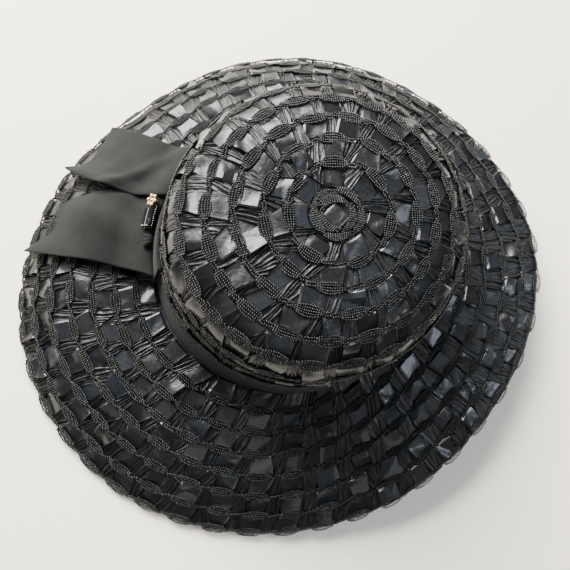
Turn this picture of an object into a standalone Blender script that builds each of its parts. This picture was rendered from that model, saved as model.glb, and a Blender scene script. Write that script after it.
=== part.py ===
# A wide-brimmed straw hat, sewn in a spiral from one braid, with a ribbon band and a flat bow.
# Metres, +Z up. The rim stands on z = 0 and the origin is under the middle of the hat's box.
# The wearer's front is towards -Y.

import math
from collections import namedtuple

import bmesh
import bpy
from mathutils import Euler, Vector

MM = 0.001
MERGE_DISTANCE = 0.001 * MM
SHARP_ANGLE = 50.0

# Straw
BRAID_PITCH = 13.8 * MM
BRAID_PUFF = 0.9 * MM
STRAW_WALL = 2.2 * MM
PIECE_GAP = 0.3 * MM

# Where the hat's own axis stands, seen from the middle of its box
HAT_AXIS = Vector((3.5, 2.25, 0.0)) * MM

# Crown: three centres on the hat's axis plane, and mean radii
ROOT_HEIGHT = 35.0 * MM
SHOULDER_HEIGHT = 83.0 * MM
CROWN_TOP = 118.5 * MM
FOOT_CENTRE = Vector((-9.0, -7.0, 0.0)) * MM
SHOULDER_CENTRE = Vector((-8.0, 1.0, 0.0)) * MM
TIP_CENTRE = Vector((-4.0, -2.5, 0.0)) * MM
FOOT_RADIUS = 90.0 * MM
SHOULDER_RADIUS = 91.0 * MM
HEAD_OVAL = 0.034
WAIST = 1.2 * MM
DOME_FULLNESS = 2.75
TIP_RADIUS = 4.0 * MM
CROWN_SEGMENTS = 60
WALL_STEPS = 60
DOME_STEPS = 160
PUFF_CLEAR = 1.0 * MM

# Brim: radius of the edge from the hat's axis, and how late the bell turns down.
# One stretch of the edge floats up in a wave, and the rest stands on the ground.
BrimSection = namedtuple("BrimSection", "angle edge_radius bell")
BRIM_SECTIONS = (
    BrimSection(0, 161 * MM, 1.2),
    BrimSection(30, 168 * MM, 1.2),
    BrimSection(60, 178 * MM, 1.2),
    BrimSection(90, 186.5 * MM, 1.6),
    BrimSection(120, 181 * MM, 2.2),
    BrimSection(150, 172 * MM, 2.6),
    BrimSection(180, 167 * MM, 2.6),
    BrimSection(210, 180 * MM, 2.4),
    BrimSection(240, 193 * MM, 2.4),
    BrimSection(270, 191 * MM, 2.0),
    BrimSection(300, 182 * MM, 1.5),
    BrimSection(330, 170 * MM, 1.2),
)
SECTION_STEP = 360 // len(BRIM_SECTIONS)
LIFT_HEIGHT = 32.0 * MM
LIFT_FROM = 300.0
LIFT_SPAN = 165.0
LIFT_RAMP = 66.0
BRIM_ROWS = 7
BRIM_THICK = 2.4 * MM
BRIM_SEGMENTS = 96
SCALLOP_DEPTH = 1.0 * MM
RIM_FLAT = 2.5 * MM
RIM_INSET = 0.5 * MM
SLOPE_STEPS = 120
SPACING_SLACK = 0.9999
UNDERSIDE_RINGS = 5
UNDERSIDE_REACH = 0.9
ROOT_PASSES = 8

# Ribbon
BAND_WIDTH = 25.0 * MM
BAND_THICK = 1.2 * MM
BAND_CLEAR = 0.4 * MM
BAND_START = ROOT_HEIGHT + 1.3 * MM
RIBBON_THICK = 1.0 * MM

# Lap of the bow: a folded strip that stands proud of the band
LAP_ANGLES = (203.0, 239.0)
LAP_STEPS = 8
LAP_THICK = 3.2 * MM
LAP_BOTTOM = 42.0 * MM
LAP_TOP = 64.0 * MM

# Tails: one row for each place across the ribbon, from its upper to its lower edge.
# The root angle is measured round the foot of the crown, the end from the hat's axis.
TailRow = namedtuple("TailRow", "root_angle end_x end_y end_height")
UPPER_TAIL_ROWS = (
    TailRow(181, -169 * MM, -24 * MM, 10 * MM),
    TailRow(189, -162 * MM, -40 * MM, 13 * MM),
    TailRow(197, -158 * MM, -57 * MM, 15 * MM),
    TailRow(205, -163 * MM, -71 * MM, 20 * MM),
)
LOWER_TAIL_ROWS = (
    TailRow(204, -139 * MM, -72 * MM, 21 * MM),
    TailRow(215, -147 * MM, -91 * MM, 12 * MM),
    TailRow(227, -139 * MM, -111 * MM, 9 * MM),
    TailRow(238, -138 * MM, -129 * MM, 13 * MM),
)
# Clear is the air under a tail where it lies on the brim; a swell is added on top,
# and waves counts its half turns across the ribbon.
Tail = namedtuple("Tail", "rows root_height clear swell waves")
UPPER_TAIL = Tail(UPPER_TAIL_ROWS, 53.6 * MM, 3.6 * MM, 4.0 * MM, 1)
LOWER_TAIL = Tail(LOWER_TAIL_ROWS, 50.5 * MM, 3.4 * MM, 2.6 * MM, 2)
TAIL_ROOT_OUT = 5.75 * MM
TAIL_DROP = 0.32
TAIL_STEPS = (12, 6)

# Ornament and knot, on the slope of the tails' root
ORNAMENT_ANGLE = 214.0
ORNAMENT_OUT = 10.4 * MM
ORNAMENT_HEIGHT = 52.8 * MM
ORNAMENT_TILT = 40.0
PLATE_SIZE = Vector((21.0, 7.5, 1.4)) * MM
PLATE_CORNER = 2.0 * MM
STONE_SIZE = Vector((11.0, 6.4, 3.4)) * MM
STONE_TABLE = 0.62
STONE_SEAT = Vector((3.8, 0.0, 1.9)) * MM
SMALL_STONE_RADIUS = 2.1 * MM
SMALL_STONE_DEPTH = 2.6 * MM
SMALL_STONE_PLACES = ((-8.2, -1.7), (-8.2, 1.7), (-4.8, -1.7), (-4.8, 1.7))
SMALL_STONE_SEAT = 1.6 * MM
FACETS = 8
KNOT_ANGLE = 224.5
KNOT_OUT = 9.6 * MM
KNOT_HEIGHT = 53.35 * MM
KNOT_SIZE = Vector((4.6, 3.4, 2.2)) * MM


def clear_scene():
    for old in list(bpy.data.objects):
        bpy.data.objects.remove(old, do_unlink=True)


def material(name, colour, roughness, metallic=0.0):
    made = bpy.data.materials.new(name)
    made.use_nodes = True
    shader = made.node_tree.nodes["Principled BSDF"]
    shader.inputs["Base Color"].default_value = (*colour, 1.0)
    shader.inputs["Roughness"].default_value = roughness
    shader.inputs["Metallic"].default_value = metallic
    return made


def finish(name, bm, finish_material, smooth=True):
    """One named object on the hat's axis, with its faces pointing out."""
    bmesh.ops.recalc_face_normals(bm, faces=bm.faces)
    mesh = bpy.data.meshes.new(name)
    bm.to_mesh(mesh)
    bm.free()
    mesh.materials.append(finish_material)
    if smooth:
        mesh.shade_smooth()
        mesh.set_sharp_from_angle(angle=math.radians(SHARP_ANGLE))
    piece = bpy.data.objects.new(name, mesh)
    piece.location = HAT_AXIS
    bpy.context.scene.collection.objects.link(piece)
    return piece


def mix(a, b, share):
    return a + (b - a) * share


def smooth_step(share):
    share = min(max(share, 0.0), 1.0)
    return share * share * (3.0 - 2.0 * share)


def around(angle):
    """Unit vector at an angle in degrees from +X."""
    return Vector((math.cos(math.radians(angle)), math.sin(math.radians(angle)), 0.0))


def curve_through(before, start, end, after, share):
    """Catmull-Rom value between start and end."""
    slope = end - before
    bend = 2 * before - 5 * start + 4 * end - after
    twist = 3 * start - before - 3 * end + after
    return 0.5 * (2 * start + slope * share + bend * share**2 + twist * share**3)


def brim_value(column, angle):
    """A column of the brim's sections, read smoothly at any angle."""
    place = (angle % 360) / SECTION_STEP
    first = int(place)
    rows = [BRIM_SECTIONS[(first + step) % len(BRIM_SECTIONS)] for step in (-1, 0, 1, 2)]
    return curve_through(*(getattr(row, column) for row in rows), place - first)


def head_oval(angle):
    """The head is longer from front to back, so the crown is too."""
    return 1.0 - HEAD_OVAL * math.cos(math.radians(2 * angle))


def wall_radius(height):
    """Mean outer radius of the crown's wall at a height."""
    share = (height - ROOT_HEIGHT) / (SHOULDER_HEIGHT - ROOT_HEIGHT)
    return mix(FOOT_RADIUS, SHOULDER_RADIUS, share) - WAIST * math.sin(math.pi * share)


def wall_centre(height):
    share = (height - ROOT_HEIGHT) / (SHOULDER_HEIGHT - ROOT_HEIGHT)
    return mix(FOOT_CENTRE, SHOULDER_CENTRE, share)


def crown_centre(radius, height):
    if height <= SHOULDER_HEIGHT:
        return wall_centre(height)
    return mix(TIP_CENTRE, SHOULDER_CENTRE, min(radius / SHOULDER_RADIUS, 1.0))


def crown_point(angle, radius, height):
    """A point of the crown from its mean radius and its height."""
    centre = crown_centre(radius, height)
    return centre + around(angle) * radius * head_oval(angle) + Vector((0, 0, height))


def wall_point(angle, outwards, height):
    """A point that far outside the crown's wall."""
    reach = wall_radius(height) * head_oval(angle) + outwards
    return wall_centre(height) + around(angle) * reach + Vector((0, 0, height))


def crown_outline():
    """Close points of the crown's mean outline, as (radius, height), from its foot to its tip."""
    outline = []
    for step in range(WALL_STEPS):
        height = mix(ROOT_HEIGHT + PIECE_GAP, SHOULDER_HEIGHT, step / WALL_STEPS)
        outline.append(Vector((wall_radius(height), height)))
    rise = CROWN_TOP - SHOULDER_HEIGHT
    power = 2.0 / DOME_FULLNESS
    for step in range(DOME_STEPS + 1):
        turn = math.pi / 2 * step / DOME_STEPS
        radius = SHOULDER_RADIUS * max(math.cos(turn), 0.0) ** power
        outline.append(Vector((radius, SHOULDER_HEIGHT + rise * math.sin(turn) ** power)))
    return outline


def even_stations(outline, spacing, stop_radius):
    """(place, outward normal) at even steps along an outline, down to a radius."""
    stations = []
    walked = 0.0
    for here, following in zip(outline, outline[1:]):
        along = following - here
        while walked <= along.length:
            place = here + along.normalized() * walked
            if place.x < stop_radius:
                return stations
            stations.append((place, Vector((along.y, -along.x)).normalized()))
            walked += spacing
        walked -= along.length
    return stations


def skin(bm, rings):
    """Faces through rings of points: a sheet rolled up, with the edges that meet merged."""
    steps = len(rings) - 1
    count = len(rings[0])
    bmesh.ops.create_grid(bm, x_segments=steps, y_segments=count, size=0.5)
    for vert in bm.verts:
        ring = round((vert.co.x + 0.5) * steps)
        place = round((vert.co.y + 0.5) * count)
        vert.co = rings[ring][place % count]
    bmesh.ops.remove_doubles(bm, verts=bm.verts, dist=MERGE_DISTANCE)


def close_ends(bm):
    """Faces over the open ends, fanned from their middles."""
    ends = bmesh.ops.holes_fill(bm, edges=bm.edges)["faces"]
    bmesh.ops.poke(bm, faces=ends)


def crown_angles():
    return [360 * i / CROWN_SEGMENTS for i in range(CROWN_SEGMENTS)]


def build_crown(straw):
    """A dome on a leaning wall. Above the band each row of braid swells a little."""
    stations = even_stations(crown_outline(), BRAID_PITCH / 2, TIP_RADIUS)
    band_top = BAND_START + BAND_WIDTH + PUFF_CLEAR
    outer = []
    inner = []
    for i, (place, normal) in enumerate(stations):
        puff = BRAID_PUFF if i % 2 and place.y > band_top else 0.0
        outer.append(place + normal * puff)
        if i % 2 == 0:
            inner.append(place - normal * STRAW_WALL)
    inner[0].y = outer[0].y
    bm = bmesh.new()
    section = inner[::-1] + outer
    skin(bm, [[crown_point(angle, at.x, at.y) for angle in crown_angles()] for at in section])
    close_ends(bm)
    return finish("crown", bm, straw)


def root_reach(angle):
    """Distance from the hat's axis to the foot of the wall, in a direction seen from the axis."""
    reach = FOOT_RADIUS
    for _ in range(ROOT_PASSES):
        offset = around(angle) * reach - FOOT_CENTRE
        seen = math.degrees(math.atan2(offset.y, offset.x))
        reach += FOOT_RADIUS * head_oval(seen) - offset.length
    return reach


def edge_lift(angle):
    """Height of the rim over the ground."""
    turned = (angle - LIFT_FROM) % 360
    inside = min(turned, LIFT_SPAN - turned)
    return LIFT_HEIGHT * smooth_step(inside / LIFT_RAMP)


def brim_height(share, bell, lift):
    """Underside of the brim, from its root to its edge."""
    return mix(ROOT_HEIGHT - BRIM_THICK, lift, max(share, 0.0) ** bell)


def brim_top(place):
    """Height of the brim's upper face under or over a point."""
    angle = math.degrees(math.atan2(place.y, place.x))
    root = root_reach(angle)
    share = (Vector((place.x, place.y)).length - root) / (brim_value("edge_radius", angle) - root)
    return brim_height(min(share, 1.0), brim_value("bell", angle), edge_lift(angle)) + BRIM_THICK


def brim_profile(angle, scallop):
    """Closed outline of the brim in one direction, as (reach, height), round the wall."""
    root = root_reach(angle)
    edge = brim_value("edge_radius", angle)
    bell = brim_value("bell", angle)
    lift = edge_lift(angle)
    dense = []
    for step in range(SLOPE_STEPS + 1):
        share = step / SLOPE_STEPS
        height = brim_height(share, bell, lift) + BRIM_THICK
        dense.append(Vector((mix(root, edge, share), height)))
    length = sum((b - a).length for a, b in zip(dense, dense[1:]))
    stations = even_stations(dense, length / (2 * BRIM_ROWS) * SPACING_SLACK, 0.0)
    top = []
    for i, (place, normal) in enumerate(stations[: 2 * BRIM_ROWS + 1]):
        top.append(place - normal * (BRAID_PUFF if i % 2 else 0.0))
    top[-1] = Vector((edge + scallop, lift + BRIM_THICK))
    rim = [
        Vector((edge + scallop - RIM_INSET, lift)),
        Vector((edge + scallop - RIM_INSET - RIM_FLAT, lift)),
    ]
    under = []
    for step in range(UNDERSIDE_RINGS, -1, -1):
        share = UNDERSIDE_REACH * step / UNDERSIDE_RINGS
        under.append(Vector((mix(root, edge, share), brim_height(share, bell, lift))))
    ledge = [
        Vector((root - STRAW_WALL, ROOT_HEIGHT - BRIM_THICK)),
        Vector((root - STRAW_WALL, ROOT_HEIGHT)),
    ]
    return top + rim + under + ledge


def build_brim(straw):
    """A bell brim that stands on a flat rim, with a shallow scallop along its edge."""
    sides = []
    for i in range(BRIM_SEGMENTS):
        angle = 360 * i / BRIM_SEGMENTS
        scallop = SCALLOP_DEPTH * (-1) ** i
        outward = around(angle)
        sides.append([outward * at.x + Vector((0, 0, at.y)) for at in brim_profile(angle, scallop)])
    rings = list(zip(*sides))
    bm = bmesh.new()
    skin(bm, rings + rings[:1])
    return finish("brim", bm, straw)


def build_band(ribbon):
    """A flat ribbon round the foot of the crown."""
    inside = BAND_CLEAR
    outside = BAND_CLEAR + BAND_THICK
    heights = [BAND_START, BAND_START + BAND_WIDTH / 2, BAND_START + BAND_WIDTH]
    section = [(outside, height) for height in heights]
    section += [(inside, height) for height in reversed(heights)]
    rings = [[wall_point(angle, *at) for angle in crown_angles()] for at in section]
    bm = bmesh.new()
    skin(bm, rings + rings[:1])
    return finish("hat_band", bm, ribbon)


def build_lap(ribbon):
    """The fold of ribbon that holds the tails: a strip with a round upper edge."""
    inside = BAND_CLEAR + BAND_THICK + PIECE_GAP
    half = LAP_THICK / 2
    section = [(inside, LAP_BOTTOM), (inside + LAP_THICK, LAP_BOTTOM)]
    for turn in (0, 45, 90, 135, 180):
        outwards = inside + half + half * math.cos(math.radians(turn))
        section.append((outwards, LAP_TOP - half + half * math.sin(math.radians(turn))))
    rings = []
    for step in range(LAP_STEPS + 1):
        angle = mix(LAP_ANGLES[0], LAP_ANGLES[1], step / LAP_STEPS)
        rings.append([wall_point(angle, *at) for at in section])
    bm = bmesh.new()
    skin(bm, rings)
    close_ends(bm)
    return finish("band_lap", bm, ribbon)


def tail_value(rows, column, across):
    """A column of a tail's rows, read smoothly across the ribbon."""
    place = min(across * (len(rows) - 1), len(rows) - 1 - 1e-6)
    first = int(place)
    near = [rows[min(max(first + step, 0), len(rows) - 1)] for step in (-1, 0, 1, 2)]
    return curve_through(*(getattr(row, column) for row in near), place - first)


def tail_point(tail, along, across):
    """A point of a tail's underside: down from the lap, over the brim and out to the cut end."""
    root_angle = tail_value(tail.rows, "root_angle", across)
    root = wall_point(root_angle, TAIL_ROOT_OUT, tail.root_height)
    end = Vector([tail_value(tail.rows, column, across) for column in ("end_x", "end_y", "end_height")])
    place = root.lerp(end, along)
    root_rise = root.z - brim_top(root) - tail.clear
    end_rise = end.z - brim_top(end) - tail.clear
    place.z = brim_top(place) + tail.clear
    place.z += root_rise * (1.0 - smooth_step(along / TAIL_DROP))
    place.z += end_rise * along**4
    wave = (1.0 - math.cos(math.pi * tail.waves * across)) / 2
    place.z += tail.swell * wave * math.sin(math.pi * along)
    return place


def build_tail(name, tail, ribbon):
    """A flat ribbon tail, one thickness over its underside."""
    steps_along, steps_across = TAIL_STEPS
    bm = bmesh.new()
    bmesh.ops.create_grid(bm, x_segments=steps_along, y_segments=steps_across, size=0.5)
    for vert in bm.verts:
        along = min(max(vert.co.x + 0.5, 0.0), 1.0)
        across = min(max(vert.co.y + 0.5, 0.0), 1.0)
        vert.co = tail_point(tail, along, across)
    if sum(face.normal.z for face in bm.faces) < 0:
        bmesh.ops.reverse_faces(bm, faces=bm.faces)
    bmesh.ops.solidify(bm, geom=list(bm.faces), thickness=-RIBBON_THICK)
    return finish(name, bm, ribbon)


def helper(name, bm):
    """A shape that a Boolean adds to another piece."""
    made = finish(name, bm, None, smooth=False)
    made.location = (0.0, 0.0, 0.0)
    made.hide_render = True
    made.display_type = "WIRE"
    return made


def fuse(piece, other):
    other.parent = piece
    union = piece.modifiers.new(other.name, "BOOLEAN")
    union.operation = "UNION"
    union.solver = "EXACT"
    union.object = other


def stone_shape(size, table):
    """A faceted stone: a girdle, crown facets and a flat table."""
    bm = bmesh.new()
    bmesh.ops.create_cone(
        bm,
        cap_ends=True,
        segments=FACETS,
        radius1=0.5,
        radius2=0.5 * table,
        depth=1.0,
    )
    half_facet = Euler((0.0, 0.0, math.pi / FACETS)).to_matrix()
    bmesh.ops.rotate(bm, verts=bm.verts, matrix=half_facet)
    bmesh.ops.scale(bm, vec=size, verts=bm.verts)
    return bm


def build_ornament(metal):
    """A setting plate with one long step-cut stone and four small stones fused to it."""
    bm = bmesh.new()
    bmesh.ops.create_cube(bm, size=1.0)
    bmesh.ops.scale(bm, vec=PLATE_SIZE, verts=bm.verts)
    rises = {edge: abs(edge.verts[0].co.z - edge.verts[1].co.z) for edge in bm.edges}
    corners = [edge for edge, rise in rises.items() if rise > PLATE_SIZE.z / 2]
    bmesh.ops.bevel(
        bm,
        geom=corners,
        offset=PLATE_CORNER,
        segments=2,
        profile=0.5,
        affect="EDGES",
        material=-1,
    )
    plate = finish("bow_ornament", bm, metal, smooth=False)
    long_stone = stone_shape(STONE_SIZE, STONE_TABLE)
    bmesh.ops.translate(long_stone, vec=STONE_SEAT, verts=long_stone.verts)
    fuse(plate, helper("long_stone_shape", long_stone))
    for i, (x, y) in enumerate(SMALL_STONE_PLACES):
        size = Vector((2 * SMALL_STONE_RADIUS, 2 * SMALL_STONE_RADIUS, SMALL_STONE_DEPTH))
        small = stone_shape(size, STONE_TABLE)
        bmesh.ops.translate(small, vec=Vector((x * MM, y * MM, SMALL_STONE_SEAT)), verts=small.verts)
        fuse(plate, helper(f"small_stone_shape_{i + 1}", small))
    place_on_slope(plate, ORNAMENT_ANGLE, ORNAMENT_OUT, ORNAMENT_HEIGHT)
    return plate


def build_knot(ribbon):
    """The flattened knot of ribbon under the stones."""
    bm = bmesh.new()
    bmesh.ops.create_uvsphere(bm, u_segments=12, v_segments=8, radius=1.0)
    bmesh.ops.scale(bm, vec=KNOT_SIZE, verts=bm.verts)
    knot = finish("bow_knot", bm, ribbon)
    place_on_slope(knot, KNOT_ANGLE, KNOT_OUT, KNOT_HEIGHT)
    return knot


def place_on_slope(piece, angle, outwards, height):
    """Turns a piece to face up and out, with its length along the lap, and puts it there."""
    facing = Euler((0.0, 0.0, math.radians(angle + 90))).to_matrix()
    tilt = Euler((math.radians(ORNAMENT_TILT), 0.0, 0.0)).to_matrix()
    piece.rotation_euler = (facing @ tilt).to_euler()
    piece.location = HAT_AXIS + wall_point(angle, outwards, height)


def main():
    clear_scene()
    straw = material("black_straw", (0.012, 0.013, 0.014), 0.3)
    ribbon = material("charcoal_ribbon", (0.035, 0.037, 0.037), 0.85)
    metal = material("gilt_setting", (0.55, 0.42, 0.2), 0.3, 1.0)
    build_crown(straw)
    build_brim(straw)
    build_band(ribbon)
    build_lap(ribbon)
    build_tail("bow_tail_upper", UPPER_TAIL, ribbon)
    build_tail("bow_tail_lower", LOWER_TAIL, ribbon)
    build_ornament(metal)
    build_knot(ribbon)


main()
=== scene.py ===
import math

import bmesh
import bpy
import numpy as np
from mathutils import Euler, Matrix, Vector


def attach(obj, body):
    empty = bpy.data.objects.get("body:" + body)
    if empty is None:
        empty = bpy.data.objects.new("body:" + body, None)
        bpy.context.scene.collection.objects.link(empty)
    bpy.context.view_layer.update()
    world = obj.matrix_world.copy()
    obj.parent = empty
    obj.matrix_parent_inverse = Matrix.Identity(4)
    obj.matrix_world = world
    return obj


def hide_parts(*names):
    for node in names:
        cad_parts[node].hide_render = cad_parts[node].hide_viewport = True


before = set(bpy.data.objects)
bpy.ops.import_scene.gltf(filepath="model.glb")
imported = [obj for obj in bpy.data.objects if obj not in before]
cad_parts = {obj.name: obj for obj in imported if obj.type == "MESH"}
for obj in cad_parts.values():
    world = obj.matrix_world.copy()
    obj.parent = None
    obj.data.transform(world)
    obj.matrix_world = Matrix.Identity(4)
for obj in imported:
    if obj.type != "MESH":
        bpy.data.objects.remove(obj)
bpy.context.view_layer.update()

mm = 0.001
rng = np.random.default_rng(7)  # fixed, so that every run lays the same braid

# the hat's own axis, and the crown: centres of the foot, the shoulder and the tip, in mm
hat = {
    "axis": (3.5, 2.25, 0.0),
    "rootHeight": 35.0,
    "shoulderHeight": 83.0,
    "top": 118.5,
    "footCentre": (-9.0, -7.0),
    "shoulderCentre": (-8.0, 1.0),
    "tipCentre": (-4.0, -2.5),
    "footRadius": 90.0,
    "shoulderRadius": 91.0,
    "oval": 0.034,  # radii along Y are larger by this share, and along X smaller
    "waist": 1.2,  # how far the wall draws in half way up
    "fullness": 2.75,  # 2 is an ellipse, and more is a squarer shoulder
    "wall": 2.2,
    "outlineSteps": 400,
}
# the brim: edge radius and bell every 30 degrees, and the stretch that floats up
brim = {
    "edge": (161, 168, 178, 186.5, 181, 172, 167, 180, 193, 191, 182, 170),
    "bell": (1.2, 1.2, 1.2, 1.6, 2.2, 2.6, 2.6, 2.4, 2.4, 2.0, 1.5, 1.2),
    "step": 30.0,
    "lift": 32.0,
    "liftFrom": 300.0,
    "liftSpan": 165.0,
    "liftRamp": 66.0,
    "thick": 2.4,
    "runOn": 1.05,  # the slope goes on a little past the edge
}
# the band's place, where the crown's rows stop too, and the cloth of all the ribbon
ribbon = {
    "bandStart": 36.3, "bandWidth": 25.0, "bandClear": 0.4, "bandInset": 0.2, "ripple": 0.25,
    "ripples": 7, "thick": 0.7,
}


def mix(a, b, share):
    return a + (b - a) * share


def smoothStep(share):
    share = np.clip(share, 0.0, 1.0)
    return share * share * (3.0 - 2.0 * share)


def easeIn(value, start, wide):
    # 0 up to a start, and 1 past a width
    return smoothStep((value - start) / wide)


def pointsRound(x, y, reach, angle, height):
    turn = np.radians(angle)
    return np.stack([x + reach * np.cos(turn), y + reach * np.sin(turn), height + 0 * turn], axis=-1)


def headOval(angle):
    # a head is longer than wide: share of the radius at an angle
    return 1.0 - hat["oval"] * np.cos(np.radians(2 * angle))


def wallRadius(height):
    share = (height - hat["rootHeight"]) / (hat["shoulderHeight"] - hat["rootHeight"])
    return mix(hat["footRadius"], hat["shoulderRadius"], share) - hat["waist"] * np.sin(np.pi * share)


def crownCentre(radius, height):
    # leans from the foot's centre to the shoulder's, then in to the tip's
    share = np.clip((height - hat["rootHeight"]) / (hat["shoulderHeight"] - hat["rootHeight"]), -1, 1)
    inwards = np.clip(radius / hat["shoulderRadius"], 0, 1)
    low = [mix(hat["footCentre"][i], hat["shoulderCentre"][i], share) for i in (0, 1)]
    high = [mix(hat["tipCentre"][i], hat["shoulderCentre"][i], inwards) for i in (0, 1)]
    return [np.where(height <= hat["shoulderHeight"], low[i], high[i]) for i in (0, 1)]


def crownOutline():
    # (radius, height) from the tip down to the foot, with the distance walked
    turn = np.linspace(np.pi / 2, 0, hat["outlineSteps"])
    power = 2.0 / hat["fullness"]
    radius = hat["shoulderRadius"] * np.maximum(np.cos(turn), 0) ** power
    height = hat["shoulderHeight"] + (hat["top"] - hat["shoulderHeight"]) * np.sin(turn) ** power
    down = np.linspace(hat["shoulderHeight"], hat["rootHeight"], hat["outlineSteps"] // 5)[1:]
    radius = np.append(radius, wallRadius(down))
    height = np.append(height, down)
    walk = np.append(0.0, np.cumsum(np.hypot(np.diff(radius), np.diff(height))))
    return radius, height, walk


outlineRadius, outlineHeight, outlineWalk = crownOutline()


def crownSurface(angle, walk):
    # a point of the crown that far from its tip, in mm from the hat's axis
    radius = np.interp(walk, outlineWalk, outlineRadius)
    height = np.interp(walk, outlineWalk, outlineHeight)
    x, y = crownCentre(radius, height)
    return pointsRound(x, y, radius * headOval(angle), angle, height)


def wallPoint(angle, outwards, height):
    # a point that far off the crown's wall, at a height
    reach = wallRadius(height) * headOval(angle) + outwards
    x, y = crownCentre(hat["shoulderRadius"], np.minimum(height, hat["shoulderHeight"]))
    return pointsRound(x, y, reach, angle, height)


def curveThrough(before, start, end, after, share):
    # Catmull-Rom from start to end
    slope = end - before
    bend = 2 * before - 5 * start + 4 * end - after
    twist = 3 * start - before - 3 * end + after
    return 0.5 * (2 * start + slope * share + bend * share**2 + twist * share**3)


def brimValue(column, angle):
    # a curve through the rows of the brim's table
    rows = np.array(brim[column], float)
    place = (np.asarray(angle, float) % 360) / brim["step"]
    first = np.floor(place).astype(int)
    near = [rows[(first + k) % len(rows)] for k in (-1, 0, 1, 2)]
    return curveThrough(*near, place - first)


def edgeLift(angle):
    # how far the edge floats off the ground
    turned = (np.asarray(angle, float) - brim["liftFrom"]) % 360
    inside = np.minimum(turned, brim["liftSpan"] - turned)
    return brim["lift"] * smoothStep(inside / brim["liftRamp"])


def rootReach(angle):
    # from the hat's axis to the crown's foot, whose centre lies to one side: solved by steps
    angle = np.asarray(angle, float)
    reach = np.full(angle.shape, hat["footRadius"])
    for _ in range(8):
        x = reach * np.cos(np.radians(angle)) - hat["footCentre"][0]
        y = reach * np.sin(np.radians(angle)) - hat["footCentre"][1]
        seen = np.degrees(np.arctan2(y, x))
        reach = reach + hat["footRadius"] * headOval(seen) - np.hypot(x, y)
    return reach


def brimHeight(angle, reach):
    # upper face of the brim at a distance from the hat's axis
    root = rootReach(angle)
    share = np.clip((reach - root) / (brimValue("edge", angle) - root), 0, brim["runOn"])
    low = edgeLift(angle)
    under = mix(hat["rootHeight"] - brim["thick"], low, share ** brimValue("bell", angle))
    return under + brim["thick"]


brimWalks = np.arange(-2, 129)  # mm walked in from the edge, past the edge and past the root


def brimTable():
    # reach for every whole degree and every mm walked in from the edge
    angles = np.arange(0, 361)
    reaches = np.zeros((len(angles), len(brimWalks)))
    for i, angle in enumerate(angles):
        edge = float(brimValue("edge", angle))
        reach = np.linspace(edge + 2, float(rootReach(angle)) - 6, hat["outlineSteps"])
        height = brimHeight(np.full(reach.shape, float(angle)), reach)
        walk = np.append(0.0, np.cumsum(np.hypot(np.diff(reach), np.diff(height))))
        walk -= np.interp(-edge, -reach, walk)
        reaches[i] = np.interp(brimWalks, walk, reach)
    return reaches


brimReaches = brimTable()


def brimSurface(angle, walk):
    # a point of the brim's upper face that far in from its edge
    angle, walk = np.broadcast_arrays(np.asarray(angle, float), np.asarray(walk, float))
    turned = angle % 360
    a = np.floor(turned).astype(int)
    w = np.clip(walk - brimWalks[0], 0, len(brimWalks) - 1.001)
    b = np.floor(w).astype(int)
    fa, fb = turned - a, w - b
    reach = mix(mix(brimReaches[a, b], brimReaches[a, b + 1], fb),
                mix(brimReaches[a + 1, b], brimReaches[a + 1, b + 1], fb), fa)
    return pointsRound(0, 0, reach, angle, brimHeight(angle, reach))


def brimLength(angle):
    # slope from the edge to the foot of the wall
    reach = brimReaches[int(angle) % 360]
    return float(np.interp(-float(rootReach(angle)), -reach, brimWalks))


def surfaceOf(kind):
    return brimSurface if kind == "brim" else crownSurface


def laid(kind, angle, walk, along, across, proud):
    # points laid on the brim or the crown: along the row, across it towards the edge, and up.
    # Walking on goes inwards on the brim, and down and out on the crown
    surface = surfaceOf(kind)
    side = 1 if kind == "brim" else -1
    step = 0.5
    shortest = 0.05  # of a degree's arc, in mm, because it is nothing at the crown's tip
    where = walk - side * across
    arc = np.linalg.norm(surface(angle + step, where) - surface(angle - step, where), axis=-1) / (2 * step)
    turned = angle + along / np.maximum(arc, shortest)
    here = surface(turned, where)
    around = surface(turned + step, where) - here
    inwards = surface(turned, where + step) - here
    normal = np.cross(around, inwards) * side
    normal /= np.maximum(np.linalg.norm(normal, axis=-1, keepdims=True), 1e-9)
    return here + normal * proud[..., None]


def gridShape(across, along):
    # a unit sheet as points and faces
    bm = bmesh.new()
    bmesh.ops.create_grid(bm, x_segments=across, y_segments=along, size=0.5)
    return shapeOf(bm)


def beadShape():
    # one stitch: a slim four-sided bead
    bm = bmesh.new()
    bmesh.ops.create_uvsphere(bm, u_segments=4, v_segments=3, radius=0.5)
    return shapeOf(bm)


def shapeOf(bm):
    # the points and faces of a bmesh, which is then freed
    bmesh.ops.triangulate(bm, faces=[f for f in bm.faces if len(f.verts) > 4])
    bm.verts.ensure_lookup_table()
    points = np.array([v.co[:] for v in bm.verts])
    faces = [[v.index for v in f.verts] for f in bm.faces]
    bm.free()
    return points, faces


def linked(name, data):
    made = bpy.data.objects.new(name, data)
    bpy.context.scene.collection.objects.link(made)
    return made


def meshOf(name, bm, finish):
    # a bmesh as a mesh of one material. The bmesh is then freed
    mesh = bpy.data.meshes.new(name)
    bm.to_mesh(mesh)
    bm.free()
    mesh.materials.append(finish)
    return mesh


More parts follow.
